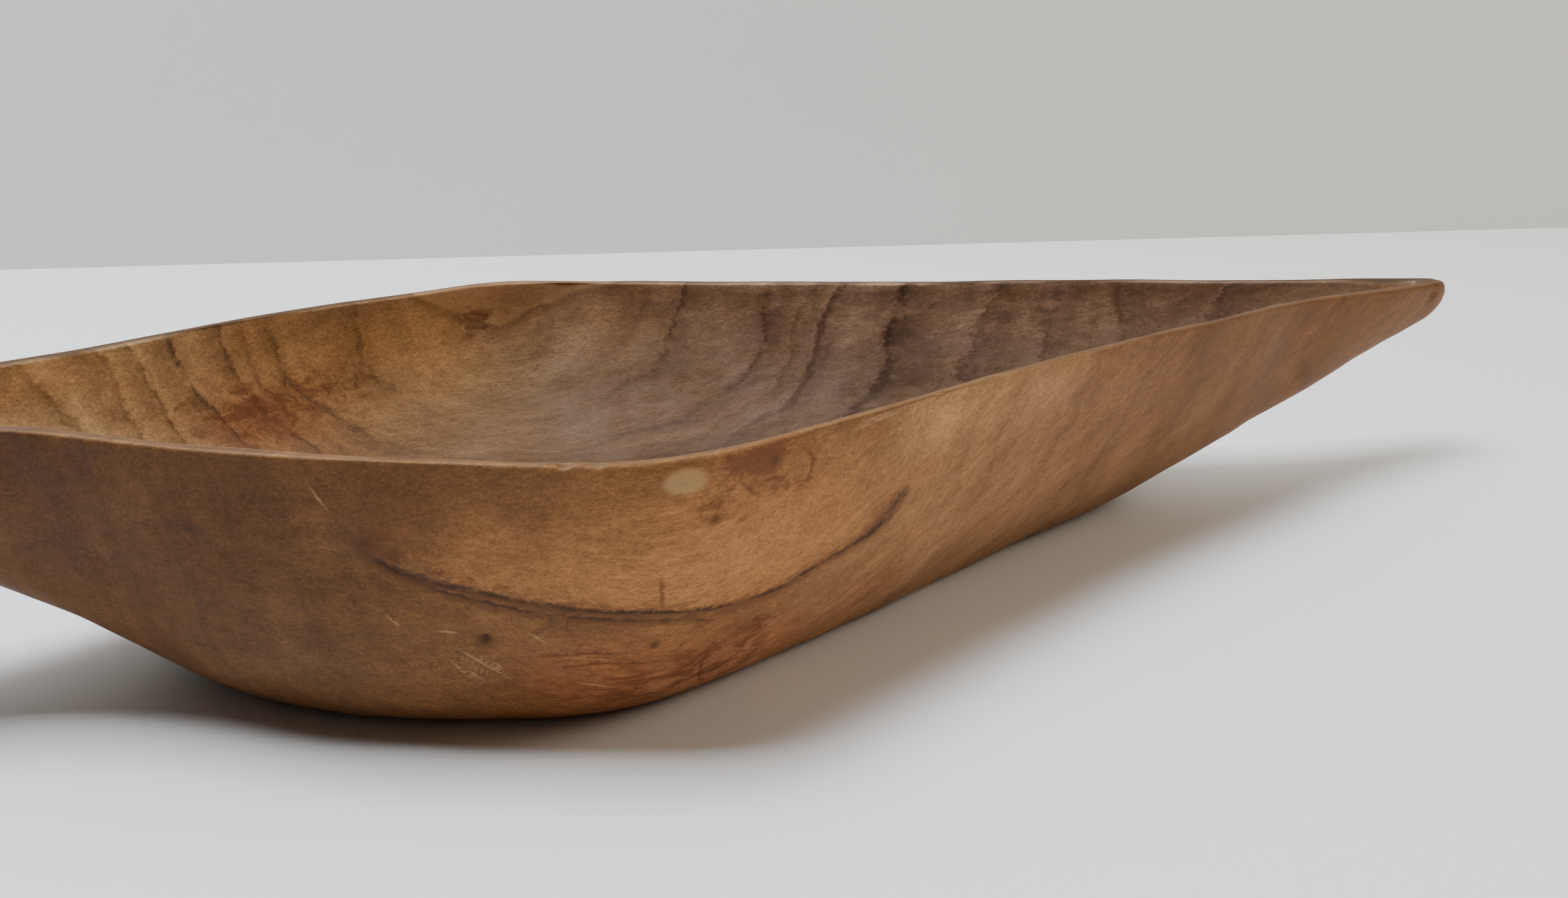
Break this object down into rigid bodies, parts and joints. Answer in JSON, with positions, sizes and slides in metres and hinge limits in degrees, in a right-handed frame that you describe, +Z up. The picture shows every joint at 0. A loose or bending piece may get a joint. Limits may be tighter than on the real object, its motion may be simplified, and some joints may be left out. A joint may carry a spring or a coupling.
{
  "type": "leaf-shaped wooden dish",
  "caption": "Shallow leaf-shaped dish carved from one piece of wood, with an open hollow, thin rim, pointed tip, narrow stalk and flat foot.",
  "frame": {"origin": "middle of the bounding box, at the height of the flat foot", "axes": "+X along the length towards the pointed tip, +Y across the width, +Z up out of the open hollow"},
  "size_m": [0.39, 0.14, 0.0545],
  "materials": {
    "wood": "hand-rubbed satin wood with dark growth-ring lines"
  },
  "bodies": {
    "root": {"carved_bowl": "wood"}
  },
  "joints": []
}
